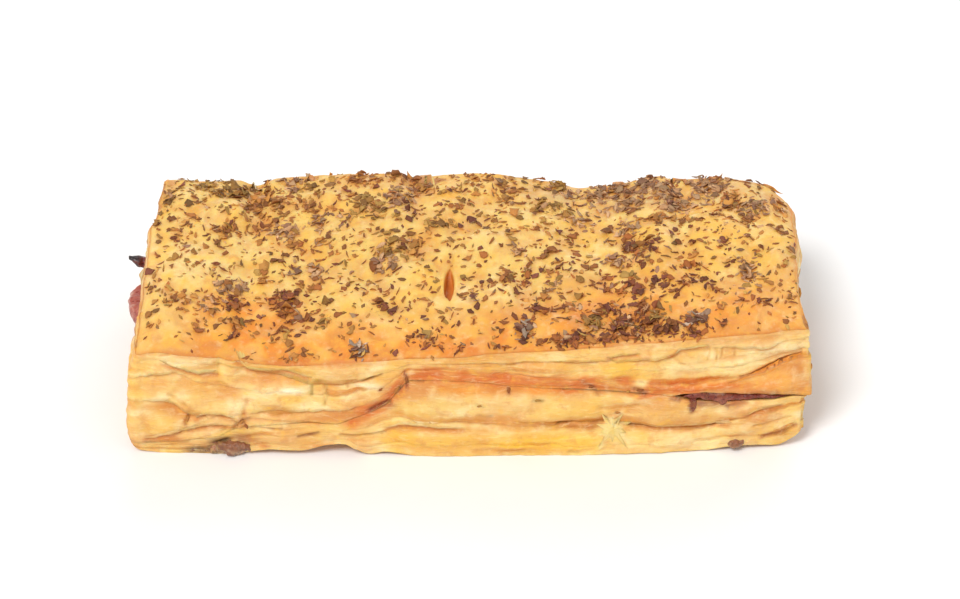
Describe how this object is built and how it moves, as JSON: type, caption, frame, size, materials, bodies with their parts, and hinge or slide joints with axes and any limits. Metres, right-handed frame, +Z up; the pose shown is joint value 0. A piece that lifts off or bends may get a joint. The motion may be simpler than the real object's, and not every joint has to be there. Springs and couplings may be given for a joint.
{
  "type": "pizza puff pastry",
  "caption": "Oblong baked puff pastry of two flaky sheets with a thin filling between them, which shows at the ends and in a slot at the front, and dried herbs on top.",
  "frame": {"origin": "on the surface the pastry lies on, under the middle of its bounding box", "axes": "+X along the long front side, to the right of someone facing the front; +Y from the front to the back; +Z up, through the crust"},
  "size_m": [0.19, 0.0854, 0.0425],
  "materials": {
    "pastry_top": "baked puff pastry crust, dry, with dried herbs",
    "pastry_bottom": "baked puff pastry, dry and flaky",
    "filling": "baked tomato sauce filling, moist",
    "ham_slice": "cooked ham, moist",
    "pepper_tip": "roasted pepper, charred",
    "sauce_leak_left": "baked-on sauce",
    "sauce_leak_right": "baked-on sauce"
  },
  "bodies": {
    "root": {"pastry_top": "pastry_top", "pastry_bottom": "pastry_bottom", "filling": "filling", "ham_slice": "ham_slice", "pepper_tip": "pepper_tip", "sauce_leak_left": "sauce_leak_left", "sauce_leak_right": "sauce_leak_right"}
  },
  "joints": []
}
